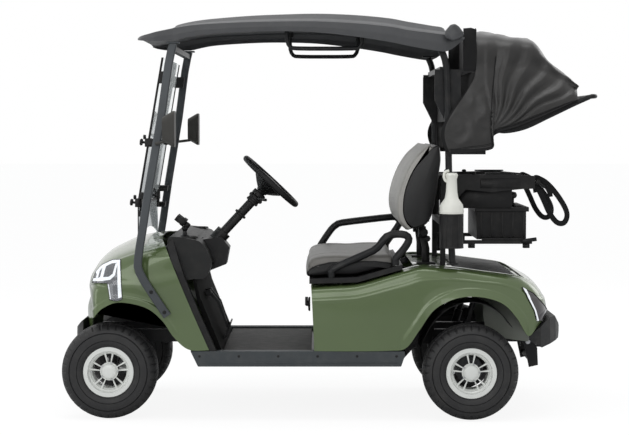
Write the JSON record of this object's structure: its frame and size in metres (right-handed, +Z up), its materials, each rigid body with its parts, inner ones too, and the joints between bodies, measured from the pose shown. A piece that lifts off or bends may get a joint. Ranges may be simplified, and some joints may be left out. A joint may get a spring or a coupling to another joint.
{
  "type": "golf cart",
  "caption": "Two-seat electric golf cart with a roof, folding-bow bag cover, bag rack, lifting seat, steered front wheels and turning wheels.",
  "frame": {"origin": "on the ground under the middle of the cart's overall length and width", "axes": "+X forward, towards the nose; +Y towards the left side; +Z up"},
  "size_m": [2.5238, 1.382, 1.92],
  "materials": {
    "body_paint": "gloss olive green",
    "frame_steel": "satin black",
    "axle_steel": "black",
    "motor": "satin black",
    "battery": "matte black",
    "black_plastic": "fine grained",
    "mat_rubber": "ribbed",
    "sill_plastic": "slate grey",
    "lamp_lens": "clear over white",
    "tail_lens": "dark red",
    "strut_metal": "slate grey",
    "clear_pane": "clear",
    "roof_plastic": "fine grained dark grey",
    "bar_metal": "satin",
    "seat_vinyl": "soft grain",
    "back_vinyl": "soft grain",
    "bottle_plastic": "off white",
    "webbing": "woven",
    "cover_cloth": "coated, slight sheen",
    "tyre_rubber": "matte",
    "rim_paint": "satin off white"
  },
  "bodies": {
    "chassis": {"chassis_frame": "frame_steel", "front_axle": "axle_steel", "rear_axle": "axle_steel", "drive_motor": "motor", "battery_pack": "battery", "front_cowl": "body_paint", "cowl_trim": "black_plastic", "toe_board": "black_plastic", "dashboard": "black_plastic", "floor_mat": "mat_rubber", "sills": "sill_plastic", "headlamps": "lamp_lens", "front_bumper": "black_plastic", "pedals": "frame_steel", "steering_column": "black_plastic", "front_struts": "strut_metal", "windshield_lower": "clear_pane", "windshield_upper": "clear_pane", "windshield_clips": "black_plastic", "roof": "roof_plastic", "roof_bars": "bar_metal", "rear_struts": "bar_metal", "rear_body": "body_paint", "deck_mat": "mat_rubber", "tail_lamps": "tail_lens", "rear_bumper": "black_plastic", "backrest_cushion": "back_vinyl", "backrest_shell": "black_plastic", "bag_rack": "black_plastic", "storage_box": "black_plastic", "sand_bottle": "bottle_plastic", "bottle_holder": "black_plastic", "bag_straps": "webbing", "cover_fabric": "cover_cloth", "cover_frame": "bar_metal", "mirrors": "black_plastic"},
    "seat": {"seat_pan": "black_plastic", "seat_cushion": "seat_vinyl", "arm_rails": "bar_metal"},
    "cover_bow": {"cover_bow": "bar_metal"},
    "steering_wheel": {"steering_wheel": "black_plastic"},
    "knuckle_left": {"knuckle_left": "axle_steel"},
    "knuckle_right": {"knuckle_right": "axle_steel"},
    "tie_rod": {"tie_rod": "axle_steel"},
    "wheel_front_left": {"tyre_front_left": "tyre_rubber", "rim_front_left": "rim_paint"},
    "wheel_front_right": {"tyre_front_right": "tyre_rubber", "rim_front_right": "rim_paint"},
    "wheel_rear_left": {"tyre_rear_left": "tyre_rubber", "rim_rear_left": "rim_paint"},
    "wheel_rear_right": {"tyre_rear_right": "tyre_rubber", "rim_rear_right": "rim_paint"}
  },
  "joints": [
    {"name": "steer_left", "type": "hinge", "parent": "chassis", "child": "knuckle_left", "pos_m": [1.038, 0.318, 0.226], "axis": [0, 0, 1], "range_deg": [-28, 28]},
    {"name": "steer_right", "type": "hinge", "parent": "chassis", "child": "knuckle_right", "pos_m": [1.038, -0.318, 0.226], "axis": [0, 0, 1], "range_deg": [-28, 28]},
    {"name": "tie_rod_slide", "type": "slide", "parent": "chassis", "child": "tie_rod", "axis": [0, 1, 0], "range_m": [-0.054, 0.054]},
    {"name": "steering_wheel_turn", "type": "hinge", "parent": "chassis", "child": "steering_wheel", "pos_m": [0.281, 0.27, 1.114], "axis": [-0.682, 0, 0.7314], "range_deg": [-392, 392]},
    {"name": "seat_lift", "type": "hinge", "parent": "chassis", "child": "seat", "pos_m": [-0.36, 0, 0.69], "axis": [0, -1, 0], "range_deg": [0, 45]},
    {"name": "cover_bow_fold", "type": "hinge", "parent": "chassis", "child": "cover_bow", "pos_m": [-0.75, 0, 1.37], "axis": [0, -1, 0], "range_deg": [0, 40]},
    {"name": "spin_front_left", "type": "hinge", "parent": "knuckle_left", "child": "wheel_front_left", "pos_m": [1.038, 0.44, 0.226], "axis": [0, 1, 0], "continuous": true},
    {"name": "spin_front_right", "type": "hinge", "parent": "knuckle_right", "child": "wheel_front_right", "pos_m": [1.038, -0.44, 0.226], "axis": [0, 1, 0], "continuous": true},
    {"name": "spin_rear_left", "type": "hinge", "parent": "chassis", "child": "wheel_rear_left", "pos_m": [-0.662, 0.49, 0.226], "axis": [0, 1, 0], "continuous": true},
    {"name": "spin_rear_right", "type": "hinge", "parent": "chassis", "child": "wheel_rear_right", "pos_m": [-0.662, -0.49, 0.226], "axis": [0, 1, 0], "continuous": true}
  ],
  "couplings": [
    {"joint": "steer_right", "follows": "steer_left", "ratio": 1},
    {"joint": "tie_rod_slide", "follows": "steer_left", "m_per_rad": -0.11},
    {"joint": "steering_wheel_turn", "follows": "steer_left", "ratio": 14}
  ]
}
